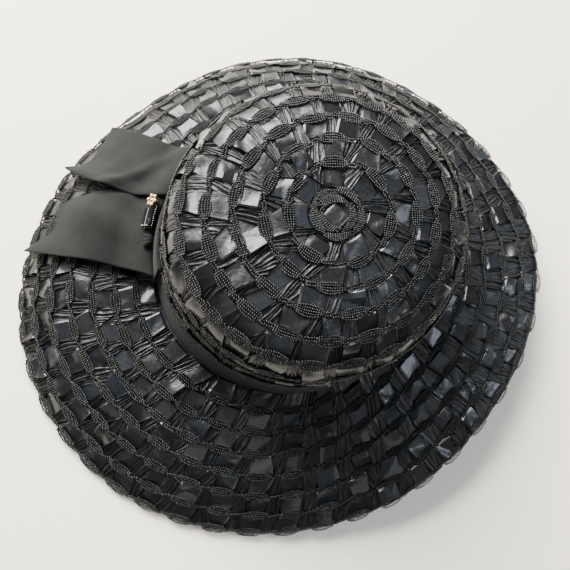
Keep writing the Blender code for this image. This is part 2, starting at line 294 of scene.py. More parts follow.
def joined(name, copies, shape, tone, finish, crisp=None):
    # one mesh of many laid copies: the points of every copy, the faces of one, and a tone for
    # each copy or each point
    count, each = copies.shape[:2]
    faces = []
    for face in shape:
        corners = np.array(face)[None, :] + np.arange(count)[:, None] * each
        faces.extend(corners.tolist())
    tones = np.repeat(tone, each) if tone.ndim == 1 else tone.reshape(-1)
    world = copies.reshape(-1, 3) * mm + np.array(hat["axis"]) * mm
    mesh = bpy.data.meshes.new(name)
    mesh.from_pydata(world.tolist(), [], faces)
    tint = mesh.attributes.new("tone", "FLOAT", "POINT")
    tint.data.foreach_set("value", tones.astype(np.float32))
    mesh.materials.append(finish)
    mesh.shade_smooth()
    if crisp:
        mesh.set_sharp_from_angle(angle=math.radians(crisp))
    return linked(name, mesh)


# colours and materials


def linear(hexColour):
    # sRGB hex to the linear values that a shader takes
    values = [int(hexColour[i:i + 2], 16) / 255 for i in (1, 3, 5)]
    return tuple(v / 12.92 if v <= 0.04045 else ((v + 0.055) / 1.055) ** 2.4 for v in values) + (1.0,)


def newMaterial(name):
    made = bpy.data.materials.new(name)
    made.use_nodes = True
    tree = made.node_tree
    return made, tree, tree.nodes["Principled BSDF"], addNode(tree, "ShaderNodeTexCoord").outputs["Object"]


def cloudedMaterial(name, scale, detail, stops, rough=0.5, **shine):
    # a material whose colour drifts between two shades. The scale is 1000 over a size in mm
    made, tree, shader, place = newMaterial(name)
    setAll(shader, **shine)
    noise = addNode(tree, "ShaderNodeTexNoise", Vector=place, Scale=scale, Detail=detail, Roughness=rough)
    ramp = addNode(tree, "ShaderNodeValToRGB", in0=noise.outputs["Fac"])
    for stop, (position, colour) in zip(ramp.color_ramp.elements, stops):
        stop.position = position
        stop.color = linear(colour)
    setAll(shader, Base_Color=ramp.outputs["Color"])
    return made, tree, shader, noise.outputs["Fac"]


def setAll(node, **values):
    # each input, by its name or its place, gets a value or a link
    for key, value in values.items():
        socket = node.inputs[int(key[2:]) if key.startswith("in") else key.replace("_", " ")]
        if isinstance(value, bpy.types.NodeSocket):
            node.id_data.links.new(value, socket)
        else:
            socket.default_value = value


def addNode(tree, kind, settings=None, **values):
    # one node with its settings, its values and its links
    node = tree.nodes.new(kind)
    for key, value in (settings or {}).items():
        setattr(node, key, value)
    setAll(node, **values)
    return node


def cellophaneStraw(name, smoothest, roughest):
    # cellophane straw: folded black film, so each flat is smooth and glossy and mirrors
    # the window its own way, with a faint warm or cool cast. The gloss varies every 4 mm and
    # the creases lie 5 mm apart
    made, tree, shader, place = newMaterial(name)
    setAll(shader, Roughness=0.3, Specular_IOR_Level=0.42, Coat_Weight=0.08, Coat_Roughness=0.15)
    # the tone is the film's own on the flats, where it differs at random; on the gathers it also carries a
    # painted highlight, lighter on the pleats' crests
    tone = addNode(tree, "ShaderNodeAttribute", {"attribute_name": "tone"}).outputs["Fac"]
    ramp = addNode(tree, "ShaderNodeValToRGB", in0=tone)
    ramp.color_ramp.elements[0].color = linear("#050607")
    ramp.color_ramp.elements[1].color = linear("#232529")
    for position, colour in ((0.5, "#0d0e10"), (0.72, "#161a20"), (0.86, "#242220")):
        ramp.color_ramp.elements.new(position).color = linear(colour)
    setAll(shader, Base_Color=ramp.outputs["Color"])
    grain = addNode(tree, "ShaderNodeTexNoise", Vector=place, Scale=260.0, Detail=3.0)
    rough = addNode(tree, "ShaderNodeMapRange", Value=grain.outputs["Fac"], To_Min=smoothest, To_Max=roughest)
    setAll(shader, Roughness=rough.outputs["Result"])
    crease = addNode(tree, "ShaderNodeTexNoise", Vector=place, Scale=190.0, Detail=2.0, Distortion=1.0)
    bump = addNode(tree, "ShaderNodeBump", Height=crease.outputs["Fac"], Strength=0.26, Distance=0.0010)
    setAll(shader, Normal=bump.outputs["Normal"])
    return made


def stitchedStraw():
    # narrow split straw, crocheted: the same film in thin strands, so a little rougher, with
    # a grain of 1.1 mm, one stitch
    made, tree, shader, place = newMaterial("crocheted_straw_strand")
    setAll(shader, Roughness=0.42, Specular_IOR_Level=0.32, Coat_Weight=0.04, Coat_Roughness=0.25)
    # the tone runs from the strand's own dark to a painted highlight, which every other stitch gets
    tone = addNode(tree, "ShaderNodeAttribute", {"attribute_name": "tone"}).outputs["Fac"]
    ramp = addNode(tree, "ShaderNodeValToRGB", in0=tone)
    ramp.color_ramp.elements[0].color = linear("#0b0c0d")
    ramp.color_ramp.elements[1].color = linear("#2e3031")
    setAll(shader, Base_Color=ramp.outputs["Color"])
    grain = addNode(tree, "ShaderNodeTexNoise", Vector=place, Scale=900.0, Detail=2.0)
    bump = addNode(tree, "ShaderNodeBump", Height=grain.outputs["Fac"], Strength=0.3, Distance=0.0003)
    setAll(shader, Normal=bump.outputs["Normal"])
    return made


def braidGround():
    # the back of the braid, and the dark between its folds: matt, with bound strands 2 mm wide
    made, tree, shader, grain = cloudedMaterial(
        "straw_braid_ground", 500.0, 4.0, ((0, "#08090a"), (1, "#232425")), Roughness=0.5,
        Specular_IOR_Level=0.35)
    bump = addNode(tree, "ShaderNodeBump", Height=grain, Strength=0.5, Distance=0.0008)
    setAll(shader, Normal=bump.outputs["Normal"])
    return made


def mattRibbon(name, dark, light):
    # viscose petersham: matt, with fine cross ribs 0.9 mm apart, a fuzz of 0.7 mm, and soft
    # clouds 18 mm across
    made, tree, shader, _ = cloudedMaterial(
        name, 55.0, 5.0, ((0.3, dark), (0.72, light)), 0.65, Roughness=0.9, Specular_IOR_Level=0.2,
        Sheen_Weight=0.04, Sheen_Roughness=0.5)
    flatMap = addNode(tree, "ShaderNodeUVMap", {"uv_map": "cloth"}).outputs["UV"]
    ribs = addNode(tree, "ShaderNodeTexWave", {"bands_direction": "X"}, Vector=flatMap, Scale=350.0,
                   Distortion=0.4)
    fuzz = addNode(tree, "ShaderNodeTexNoise", Vector=flatMap, Scale=1400.0, Detail=2.0)
    both = addNode(tree, "ShaderNodeMath", {"operation": "MULTIPLY_ADD"}, in0=fuzz.outputs["Fac"], in1=0.8,
                   in2=ribs.outputs["Fac"])
    bump = addNode(tree, "ShaderNodeBump", Height=both.outputs["Value"], Strength=0.3, Distance=0.0002)
    setAll(shader, Normal=bump.outputs["Normal"])
    return made


def giltMetal():
    # gilded brass, cast and polished: warm mirror with worn, darker hollows 1.4 mm wide
    made, tree, shader, wear = cloudedMaterial(
        "gilded_brass", 700.0, 3.0, ((0, "#a8874a"), (1, "#f4e6c0")), Metallic=1.0)
    rough = addNode(tree, "ShaderNodeMapRange", Value=wear, To_Min=0.14, To_Max=0.34)
    setAll(shader, Roughness=rough.outputs["Result"])
    return made


def blackenedMetal():
    # blackened brass: dark and half matt, with thin bright rubs 1.1 mm wide
    return cloudedMaterial("blackened_brass", 900.0, 2.0, ((0.45, "#17181a"), (0.75, "#6b6455")),
                           Metallic=1.0, Roughness=0.38)[0]


def blackGlass():
    # cut black glass: nearly mirror smooth, so its facets flash white or stay black, and a
    # little uneven in its depth every 3 mm
    return cloudedMaterial("cut_black_glass", 300.0, 1.0, ((0, "#020203"), (1, "#14161a")), Roughness=0.04,
                           IOR=1.6, Specular_IOR_Level=0.9, Coat_Weight=1.0, Coat_Roughness=0.02)[0]


def paleFloor():
    # matt painted board, warm white, shaded every 300 mm
    return cloudedMaterial("matt_white_board", 3.0, 2.0, ((0, "#fdf6e9"), (1, "#fff9ef")), Roughness=0.9,
                           Specular_IOR_Level=0.2)[0]


strawFilm = cellophaneStraw("cellophane_straw_film", 0.26, 0.42)
pleatedFilm = cellophaneStraw("pleated_straw_film", 0.42, 0.58)
strawStrand = stitchedStraw()
strawGround = braidGround()
ribbonCloth = mattRibbon("charcoal_petersham_ribbon", "#0c0d0d", "#1b1c1b")
# the knot's cloth is the same ribbon painted darker: painted shade
shadedKnotCloth = mattRibbon("shaded_petersham_knot", "#060607", "#131414")
gilt = giltMetal()
darkMetal = blackenedMetal()
glass = blackGlass()
print("materials made")


# the braid's rows: how wide they are, and where the flats and the gathers between them fall
braid = {
    "brimPitch": 14.0, "brimRows": 7, "crownPitch": 14.5, "crownFirst": 1.0, "crownRopes": 10,
    "flatLong": 14.5, "leftPeriod": 21.5, "rightPeriod": 28.5, "leftAt": 245.0,
    "crownPeriod": 21.0, "periodSpread": (0.92, 1.08),
    "startAt": 251.0,  # each row starts a little further round than the last
    "startStep": 4.0,
    "sway": 0.7,  # the brim's ropes wander a little
    "sways": 5, "swayShift": 70,
    "lean": 4.5,  # the crown's upper rows lie off centre, towards an angle
    "leanTowards": 55, "leanFull": 3, "leanFades": 4, "leanEnds": 7,
    "tuckedIn": 2.0,  # how far the last row runs under the crown's foot or the band
    "crease": 15.0,
}


def periodAt(angle):
    # the gathers are tighter on the left of the picture than on the right
    middle = (braid["leftPeriod"] + braid["rightPeriod"]) / 2
    half = (braid["rightPeriod"] - braid["leftPeriod"]) / 2
    return middle - half * math.cos(math.radians(angle - braid["leftAt"]))


def ropeWalk(kind, rope, angle):
    # distance of a sewn rope from the brim's edge or from the crown's tip
    angle = np.asarray(angle, float)
    if kind == "brim":
        sway = np.sin(np.radians(angle * braid["sways"] + rope * braid["swayShift"]))
        return rope * braid["brimPitch"] + braid["sway"] * sway
    lean = braid["lean"] * np.cos(np.radians(angle - braid["leanTowards"]))
    lean = lean * np.clip((braid["leanEnds"] - rope) / braid["leanFades"], 0, 1)
    lean = lean * np.clip(rope / braid["leanFull"], 0, 1)
    return rope * braid["crownPitch"] + braid["crownFirst"] + lean


def rowSpan(kind, row, angle):
    # where a row's middle lies between its two ropes, and how wide the row is
    first = ropeWalk(kind, row, angle)
    second = ropeWalk(kind, row + 1, angle)
    return (first + second) / 2, np.abs(second - first)


def rowPlaces(kind, row):
    # angle of each flat's middle and the length of its period, once round a row
    places = []
    angle = braid["startAt"] + row * braid["startStep"]
    end = angle + 360.0
    while angle < end - 1e-6:
        middle = float(ropeWalk(kind, row + 0.5, angle))
        arc = np.linalg.norm(surfaceOf(kind)(angle + 0.5, middle) - surfaceOf(kind)(angle - 0.5, middle))
        period = periodAt(angle) if kind == "brim" else braid["crownPeriod"]
        period *= rng.uniform(*braid["periodSpread"])
        turn = period / arc
        if end - angle - turn < turn * 0.5:
            turn = end - angle
        places.append((angle + turn / 2, turn * arc, turn))
        angle += turn
    return places


def allPlaces(kind):
    # (row, angle, length, turn) of every flat with its gather
    rows = range(braid["brimRows"]) if kind == "brim" else range(1, braid["crownRopes"])
    found = []
    for row in rows:
        for angle, period, turn in rowPlaces(kind, row):
            found.append((row, angle % 360, period, turn))
    return np.array(found)


def shownPlaces(kind, places):
    # rows that the crown's foot or the ribbon hides are left out
    kept = []
    for place in places:
        row, angle = place[:2]
        end = brimLength(angle) if kind == "brim" else outlineWalk[-1] - ribbon["bandWidth"]
        if float(ropeWalk(kind, row + 0.5, angle)) < end + braid["tuckedIn"]:
            kept.append(place)
    return np.array(kept)


# a glossy flat, a tile of the braid, in mm and in shares of its size. A pair is the least and
# the most of a draw
tile = {
    "steps": (12, 8),
    "free": 1.6,  # of the row's width, left to the ropes
    "long": (0.86, 1.12), "taper": (-0.22, 0.16), "shear": (-0.2, 0.2), "skew": (-0.04, 0.04),
    "spin": (-0.13, 0.13), "crownSpin": 2, "rise": 1.5, "tilt": (-2.6, 2.6),
    "roll": (-2.2, 2.2), "bends": 3, "bendAt": (-0.15, 0.3), "bendDeep": (-4.5, 4.5),
    "lowest": 0.35, "highest": 3.2, "foldAt": (0.40, 0.07), "foldUp": 1.0, "foldIn": 0.8,
    "tuckAt": (0.42, 0.08), "tuckDown": 0.7, "rimAt": (0.36, 0.14), "rimDown": 1.1,
}


def strawFlats(kind, places):
    # the glossy trapezoids: tilted, creased, with one side folded up
    shape, faces = gridShape(*tile["steps"])
    x, y = shape[None, :, 0], shape[None, :, 1]
    count = len(places)
    angle = places[:, 1:2]
    walk, width = rowSpan(kind, places[:, 0:1], angle)
    width = width - tile["free"]
    pick = lambda low, high: rng.uniform(low, high, (count, 1))
    long = braid["flatLong"] * pick(*tile["long"])
    taper = pick(*tile["taper"])
    shear = pick(*tile["shear"])
    along = x * long * (1 + taper * 2 * y) + shear * y * width
    across = y * width * (1 + pick(*tile["skew"]) * 2 * x)
    side = np.where(rng.random((count, 1)) < 0.5, -1.0, 1.0)
    fold = easeIn(side * x, *tile["foldAt"])
    tuck = easeIn(-side * x, *tile["tuckAt"])
    proud = tile["rise"] + pick(*tile["tilt"]) * x + pick(*tile["roll"]) * y
    for _ in range(tile["bends"]):
        turn = pick(0, 2 * np.pi)
        bend = np.maximum(x * np.cos(turn) + y * np.sin(turn) - pick(*tile["bendAt"]), 0)
        proud = proud + pick(*tile["bendDeep"]) * bend
    proud = np.clip(proud, tile["lowest"], tile["highest"]) + fold * tile["foldUp"] - tuck * tile["tuckDown"]
    proud = proud - tile["rimDown"] * easeIn(np.abs(y), *tile["rimAt"])
    along = along - side * fold * tile["foldIn"]
    spin = pick(*tile["spin"]) * (1 if kind == "brim" else tile["crownSpin"])
    along, across = along * np.cos(spin) - across * np.sin(spin), along * np.sin(spin) + across * np.cos(spin)
    tones = rng.beta(2, 3, count)  # mostly dark, and a few light
    return laid(kind, angle, walk, along, across, proud), faces, tones


# a gather, in mm and in shares of its size. A pair is the least and the most of a draw
gather = {
    "steps": (26, 6), "free": 0.6,
    "overlap": 2.6,  # how far it runs in under the flats
    "pleat": 1.7, "pleats": (4, 8),
    "shown": 0.8,  # pleats that show, as a share of all
    "fan": (-0.45, 0.45), "shear": (-0.2, 0.2), "anyTurn": (0, 6),
    "swing": 0.3,  # pleats that bunch, slant and waver
    "swings": 8, "slant": (-0.9, 0.9), "waver": 0.12, "wavers": (5, 7), "rise": 0.75,
    "deep": (0.8, 1.9),
    "even": 0.65,  # the rest of the depth comes and goes along the gather
    "uneven": 0.35, "unevens": 17, "rimAt": (0.3, 0.2), "rimDown": 0.5, "rough": 0.15,
    # dark is the pleats' own tone; light is a painted highlight on their crests, where the wave rises past
    # crest
    "lowest": -0.2, "highest": 3.0, "dark": 0.08, "light": 0.45, "crest": 0.3,
}


def strawGathers(kind, places):
    # narrow pleats across the row, between two flats, with a painted highlight: the pleats' crests are
    # painted lighter
    shape, faces = gridShape(*gather["steps"])
    x, y = shape[None, :, 0], shape[None, :, 1]
    count = len(places)
    angle, period = places[:, 1:2], places[:, 2:3]
    walk, width = rowSpan(kind, places[:, 0:1], angle)
    width = width - gather["free"]
    pick = lambda low, high: rng.uniform(low, high, (count, 1))
    gap = period - braid["flatLong"] + gather["overlap"]
    pleats = np.clip(np.round(gap / gather["pleat"]), *gather["pleats"])
    fan = pick(*gather["fan"])
    along = period / 2 + x * gap * (1 + fan * 2 * y) + pick(*gather["shear"]) * y * width
    start = pick(0, 1)
    swing = gather["swing"] * np.sin(x * gather["swings"] + pick(*gather["anyTurn"]))
    place = x * pleats * gather["shown"] + start + swing + y * pick(*gather["slant"])
    waver = np.sin(y * gather["wavers"][1] + x * gather["wavers"][0] + pick(*gather["anyTurn"]))
    place = place + gather["waver"] * waver
    wave = np.arcsin(np.sin(2 * np.pi * place)) * 2 / np.pi
    deep = gather["even"] + gather["uneven"] * np.sin(x * gather["unevens"] + pick(*gather["anyTurn"]))
    rim = 1 - gather["rimDown"] * easeIn(np.abs(y), *gather["rimAt"])
    proud = gather["rise"] + pick(*gather["deep"]) * wave * deep * rim
    proud = proud + rng.normal(0, gather["rough"], (count, shape.shape[0]))
    proud = np.clip(proud, gather["lowest"], gather["highest"])
    # painted highlight: the crests of the pleats get a lighter tone at random
    paintedCrestHighlights = gather["light"] * rng.random((count, 1)) * (wave > gather["crest"])
    tones = np.clip(gather["dark"] + paintedCrestHighlights, 0, 1)
    return laid(kind, angle, walk, along, y * width, proud), faces, tones


# the sewn ropes: single stitches in a herringbone, wide in a pad and narrow in a cord, in mm
stitch = {
    "pitch": 1.35, "long": 2.3, "wide": 1.2, "high": 1.3, "turn": 38, "turnSpread": 8,
    "rise": 2.2, "riseSpread": 0.15,
    "loneSize": 1.15,  # a cord of one strand has larger stitches
    "padLong": 16.5, "brimPad": 2.5, "crownPad": 3.2,
    "tipPad": 0.6,  # share of the crown's pad in the two rings round the start
    "brimStrands": 4, "crownStrands": 5,
    "padNarrow": 1.2,  # a pad that is narrower than this has two strands
    # dark is the stitches' own tone; light is a painted highlight, the glints of every other stitch
    "padPair": 0.7, "cordPair": 0.9, "cordLean": 0.9, "edgeIn": 1.6, "dark": 0.1, "light": 0.9,
    "toneSpread": 0.06,
}


def ropeOffsets(kind, rope, u, long):
    # where the strands lie across a rope, at a distance along it from the pad's middle
    half = stitch["padLong"] / 2
    if abs(u) < half:
        pad = stitch[kind + "Pad"] * (stitch["tipPad"] if kind == "crown" and rope < 1 else 1.0)
        spread = pad * math.sqrt(max(1 - (u / half) ** 2, 0.0))
        if spread > stitch["padNarrow"]:
            return np.linspace(-spread, spread, stitch[kind + "Strands"])
        return np.array((-stitch["padPair"], stitch["padPair"]))
    strands = np.array((0.0,)) if kind == "brim" else np.array((-stitch["cordPair"], stitch["cordPair"]))
    away = (abs(u) - half) / max(long / 2 - half, 0.1)
    return strands + math.copysign(stitch["cordLean"] * (1 - away), u)


def sewnRopes(kind, places):
    # crochet pads under the flats, joined by a thin twisted cord across each gather
    shape, faces = beadShape()
    starts = []
    for row, angle, _, turn in places:
        rope = row if kind == "brim" else row + 1
        middle = float(ropeWalk(kind, rope, angle))
        ends = [surfaceOf(kind)(np.array(angle + side), np.array(middle)) for side in (-0.5, 0.5)]
        long = turn * float(np.linalg.norm(ends[1] - ends[0]))
        steps = int(round(long / stitch["pitch"]))
        for i in range(steps):
            u = (i + 0.5) / steps * long - long / 2
            offsets = ropeOffsets(kind, rope, u, long)
            for j, offset in enumerate(offsets):
                starts.append((angle, rope, u, offset, (i + j) % 2, len(offsets)))
    starts = np.array(starts)
    count = len(starts)
    angle, rope, u, v, light, strands = [starts[:, i:i + 1] for i in range(6)]
    turn = np.radians(stitch["turn"] + rng.normal(0, stitch["turnSpread"], (count, 1)))
    size = np.where(strands > 1, 1.0, stitch["loneSize"])
    long = shape[None, :, 0] * stitch["long"] * size
    thin = shape[None, :, 1] * stitch["wide"] * size
    along = u + long * np.cos(turn) - thin * np.sin(turn)
    across = v + long * np.sin(turn) + thin * np.cos(turn)
    if kind == "brim":
        across = across - np.where(rope < 0.5, stitch["edgeIn"], 0.0)
    proud = stitch["rise"] + stitch["high"] * shape[None, :, 2]
    proud = proud + rng.normal(0, stitch["riseSpread"], (count, 1))
    # painted highlight: every other stitch gets a lighter tone at random, for the film's glints
    tones = stitch["dark"] + stitch["light"] * light[:, 0] * rng.random(count) ** 2
    tones = np.clip(tones + rng.normal(0, stitch["toneSpread"], count), 0, 1)
    return laid(kind, angle, ropeWalk(kind, rope, angle), along, across, proud), faces, tones


def rolledSkin(name, rings, finish):
    # a closed skin: a sheet rolled up, with the edges that meet merged
    steps, count = len(rings) - 1, len(rings[0])
    bm = bmesh.new()
    bmesh.ops.create_grid(bm, x_segments=steps, y_segments=count, size=0.5)
    shift = Vector(hat["axis"])
    for vert in bm.verts:
        ring = round((vert.co.x + 0.5) * steps)
        place = round((vert.co.y + 0.5) * count) % count
        vert.co = (Vector(rings[ring][place]) + shift) * mm
    bmesh.ops.remove_doubles(bm, verts=bm.verts, dist=1e-6)
    bmesh.ops.recalc_face_normals(bm, faces=bm.faces)
    mesh = meshOf(name, bm, finish)
    mesh.shade_smooth()
    return linked(name, mesh)


# the sewn wall under the braid's relief, in low rolls: turn in degrees, the rest in mm
wall = {
    "brimTurn": 2.5, "brimRings": 60, "brimRoll": 0.7, "brimSunk": 0.3, "underRoll": 0.5,
    "ground": 0.05,  # nothing lies lower
    "crownTurn": 4.0, "crownRings": 80, "crownRoll": 0.6, "crownSunk": 0.4, "crownFoot": 0.4,
    "underBand": -0.1, "inside": 0.1, "tipHole": 0.001,
}


def buildBrimGround():
    # the upper face from the edge to the root, and the plain underside back to the edge
    angles = np.arange(0, 360, wall["brimTurn"])
    length = np.array([brimLength(a) for a in angles])
    rings = []
    for k in range(wall["brimRings"] + 1):
        walk = k / wall["brimRings"] * length
        roll = np.abs(np.sin(np.pi * walk / braid["brimPitch"]))
        rings.append(laid("brim", angles, walk, 0, 0, wall["brimRoll"] * roll - wall["brimSunk"]))
    for k in range(wall["brimRings"] + 1):
        walk = (1 - k / wall["brimRings"]) * length
        roll = np.abs(np.sin(np.pi * walk / braid["brimPitch"]))
        under = wall["brimSunk"] - brim["thick"] - wall["underRoll"] * roll
        ring = laid("brim", angles, walk, 0, 0, under)
        ring[:, 2] = np.maximum(ring[:, 2], wall["ground"])
        rings.append(ring)
    return rolledSkin("brim_braid_wall", rings + rings[:1], strawGround)


def buildCrownGround():
    # the outer face from the foot to the tip, and the plain inside back to the foot
    angles = np.arange(0, 360, wall["crownTurn"])
    length = outlineWalk[-1] - wall["crownFoot"]
    rings = []
    for k in range(wall["crownRings"] + 1):
        share = k / wall["crownRings"]
        walk = np.full(angles.shape, length * (1 - share) + wall["tipHole"] * share)
        roll = np.abs(np.sin(np.pi * (walk - braid["crownFirst"]) / braid["crownPitch"]))
        puff = wall["crownRoll"] * roll - wall["crownSunk"]
        puff = np.where(walk > length - ribbon["bandWidth"], np.minimum(puff, wall["underBand"]), puff)
        rings.append(laid("crown", angles, walk, 0, 0, puff))
    for k in range(wall["crownRings"] + 1):
        share = k / wall["crownRings"]
        walk = np.full(angles.shape, wall["tipHole"] * (1 - share) + length * share)
        rings.append(laid("crown", angles, walk, 0, 0, np.full(angles.shape, -hat["wall"] - wall["inside"])))
    return rolledSkin("crown_braid_wall", rings + rings[:1], strawGround)


def buildBraid():
    # the ropes are split in two pieces, so that no piece is too large
    splits = {"brim": braid["brimRows"] / 2, "crown": braid["crownRopes"] * 0.7}
    for kind, split in splits.items():
        places = shownPlaces(kind, allPlaces(kind))
        ground = buildBrimGround() if kind == "brim" else buildCrownGround()
        flats = joined(kind + "_straw_flats", *strawFlats(kind, places), strawFilm, braid["crease"])
        gathers = joined(kind + "_straw_gathers", *strawGathers(kind, places), pleatedFilm)
        inner = joined(kind + "_inner_ropes", *sewnRopes(kind, places[places[:, 0] >= split]), strawStrand)
        outer = joined(kind + "_outer_ropes", *sewnRopes(kind, places[places[:, 0] < split]), strawStrand)
        for piece in (ground, flats, gathers, inner, outer):
            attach(piece, "root")
            piece.data.calc_loop_triangles()
            print(piece.name, len(piece.data.loop_triangles), "triangles")
        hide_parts(kind)


# the braid's start: a square flat, and rings of stitches as (rope, pads in the ring)
tip = {
    "square": 13.0, "steps": 12, "rise": 2.1, "rimAt": (5.0, 1.5), "rimDown": 0.9, "tilt": 0.05,
    "creaseAt": 1.5, "creaseSlant": 0.4, "creaseUp": 0.1, "tone": 0.35,
    "rings": ((0.58, 3), (0.88, 5)), "ringTurn": 30,
}


def buildTip():
    # one smooth square flat with two tight rings of stitches round it
    shape, faces = gridShape(tip["steps"], tip["steps"])
    x, y = shape[:, 0] * tip["square"], shape[:, 1] * tip["square"]
    middle = crownSurface(np.array(0.0), np.array(0.0))
    rim = easeIn(np.maximum(np.abs(x), np.abs(y)), *tip["rimAt"])
    up = tip["rise"] - tip["rimDown"] * rim + tip["tilt"] * x
    up = up + tip["creaseUp"] * np.maximum(x + tip["creaseSlant"] * y - tip["creaseAt"], 0)
    patch = np.stack([middle[0] + x, middle[1] + y, middle[2] + up], axis=-1)
    square = joined("crown_start_flat", patch[None], faces, np.array([tip["tone"]]), strawFilm)
    rings = []
    for rope, count in tip["rings"]:
        for i in range(count):
            rings.append((rope - 1, 360 * i / count + tip["ringTurn"], 0, 360 / count))
    stitches = joined("crown_start_ropes", *sewnRopes("crown", np.array(rings)), strawStrand)
    for piece in (square, stitches):
        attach(piece, "root")


buildBraid()
buildTip()


# ribbon


def clothSheet(name, points, flat, thick, finish):
    # a sheet of ribbon from a grid of points (across, along), with its own flat map in metres
    across, along = points.shape[0] - 1, points.shape[1] - 1
    bm = bmesh.new()
    bmesh.ops.create_grid(bm, x_segments=across, y_segments=along, size=0.5)
    layer = bm.loops.layers.uv.new("cloth")
    shift = np.array(hat["axis"])
    for face in bm.faces:
        for loop in face.loops:
            loop[layer].uv = ((loop.vert.co.y + 0.5) * flat[1], (loop.vert.co.x + 0.5) * flat[0])
    for vert in bm.verts:
        i = round((vert.co.x + 0.5) * across)
        j = round((vert.co.y + 0.5) * along)
        vert.co = Vector((points[i, j] + shift) * mm)
    if np.linalg.norm(points[:, 0] - points[:, -1], axis=-1).max() < 0.01:  # a closed band
        bmesh.ops.remove_doubles(bm, verts=bm.verts, dist=1e-6)
    mesh = meshOf(name, bm, finish)
    mesh.shade_smooth()
    piece = linked(name, mesh)
    solid = piece.modifiers.new("wall", "SOLIDIFY")
    solid.thickness = thick * mm
    solid.offset = 1.0
    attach(piece, "root")
    return piece


def buildBand():
    # once round the crown's foot, rippled a little along its lower edge
    angles = np.linspace(0, 360, 181)
    inset = ribbon["bandInset"]
    rows = []
    for up in np.linspace(0, 1, 13):
        height = ribbon["bandStart"] + inset + (ribbon["bandWidth"] - 2 * inset) * up
        ripple = ribbon["ripple"] * np.sin(np.radians(angles * ribbon["ripples"])) * (1 - up)
        rows.append(wallPoint(angles, ribbon["bandClear"] + ribbon["ripple"] + ripple, height))
    band = clothSheet("band_ribbon", np.array(rows)[:, ::-1], (0.025, 0.575), ribbon["thick"], ribbonCloth)
    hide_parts("hat_band")


# the lap's place on the wall, in degrees and mm, and the loop that its strip makes in section
lap = {
    "from": 203.0, "to": 239.0, "bottom": 42.0, "top": 64.0, "thick": 3.2, "out": 1.9,
    "cloth": 0.6, "inset": 0.4, "skin": 0.35, "belly": 0.25, "foldAt": 1.8, "foldHigh": 1.3,
    "backAt": 2.2,
}


def buildLap():
    # a strip folded over itself: up its outer face, over the fold, and down its inner face
    outside = lap["out"] + lap["thick"] - lap["skin"]
    low = lap["bottom"] + lap["inset"]
    fold = lap["top"] - lap["foldAt"]
    half = lap["thick"] / 2 - lap["skin"]
    strip = [(outside, low)]
    for t in np.linspace(0.15, 1, 6):
        strip.append((outside + lap["belly"] * math.sin(t * math.pi), mix(low, fold, t)))
    for turn in np.linspace(10, 180, 8):
        strip.append((lap["out"] + lap["thick"] / 2 + half * math.cos(math.radians(turn)),
                      fold + lap["foldHigh"] * math.sin(math.radians(turn))))
    for t in np.linspace(0, 1, 5):
        strip.append((lap["out"] + lap["skin"], mix(lap["top"] - lap["backAt"], low, t)))
    angles = np.linspace(lap["from"] + lap["inset"], lap["to"] - lap["inset"], 37)
    rows = np.array([wallPoint(angles, out, height) for out, height in strip])
    piece = clothSheet("lap_ribbon", rows[:, ::-1], (0.046, 0.06), lap["cloth"], ribbonCloth)
    piece.modifiers["wall"].offset = 0.0
    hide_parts("band_lap")


# each tail: root angles, and where its cut end lies, from its upper to its lower edge. Then how
# it lies on the brim, and the fold that runs down it
tails = {
    "upper": {"angle": (181, 189, 197, 205), "x": (-169, -162, -158, -163), "y": (-24, -40, -57, -71),
              "z": (10, 13, 15, 20), "root": 53.6, "clear": 3.6, "swell": 4.0, "waves": 1, "sag": 0.17,
              "sagPlaces": 1.0, "dome": 0.0, "edgeUp": 2.4, "corner": 0.0,
              "foldFrom": -0.24, "foldSlant": 2.25, "foldWide": 0.22, "foldDeep": 3.0},
    "lower": {"angle": (204, 215, 227, 238), "x": (-139, -147, -139, -138), "y": (-72, -91, -111, -129),
              "z": (21, 12, 9, 13), "root": 50.5, "clear": 3.4, "swell": 2.6, "waves": 2, "sag": -0.05,
              "sagPlaces": 1.5, "dome": 5.2, "edgeUp": 0.0, "corner": 0.26,
              "foldFrom": 0.62, "foldSlant": -0.3, "foldWide": 0.16, "foldDeep": 3.2},
}
# both tails: steps, how far off the wall they start, the share of their length in which they come
# down to the brim, and how their edges go, in shares of their length and width
bothTails = {
    "alongSteps": 44, "acrossSteps": 30, "root": 5.75, "drop": 0.32, "clear": 0.15,
    "fray": 0.0021, "cornerWide": 0.34, "sagRound": 0.7, "edgeAt": (0.8, 0.25),
    "foldSpeed": 1.1,
}


def across4(values, share):
    # a curve through four values, one for each place across the ribbon, and straight on past it
    values = np.array(values, float)
    if share > 1:
        return values[3] + (share - 1) * 3 * (values[3] - values[2])
    place = share * 3
    first = min(max(int(place), 0), 2)
    near = [values[min(max(first + k, 0), 3)] for k in (-1, 0, 1, 2)]
    return curveThrough(*near, place - first)


def topUnder(point):
    # height of the brim's upper face at a point
    angle = math.degrees(math.atan2(point[1], point[0]))
    return float(brimHeight(np.array([angle]), np.array([math.hypot(point[0], point[1])]))[0])


def tailPoint(tail, along, across):
    # a point of a tail, on its way from its root on the wall to its cut end
    angle = np.array(float(across4(tail["angle"], across)))
    root = wallPoint(angle, bothTails["root"], np.array(tail["root"]))
    end = np.array([across4(tail["x"], across), across4(tail["y"], across), across4(tail["z"], across)])
    place = mix(root, end, along)
    rootRise = root[2] - topUnder(root) - tail["clear"]
    endRise = end[2] - topUnder(end) - tail["clear"]
    place[2] = topUnder(place) + tail["clear"]
    place[2] += rootRise * (1 - float(smoothStep(along / bothTails["drop"]))) + endRise * along**4
    wave = (1 - math.cos(math.pi * tail["waves"] * across)) / 2
    place[2] += (tail["swell"] * wave + tail["dome"]) * math.sin(math.pi * along)
    return place


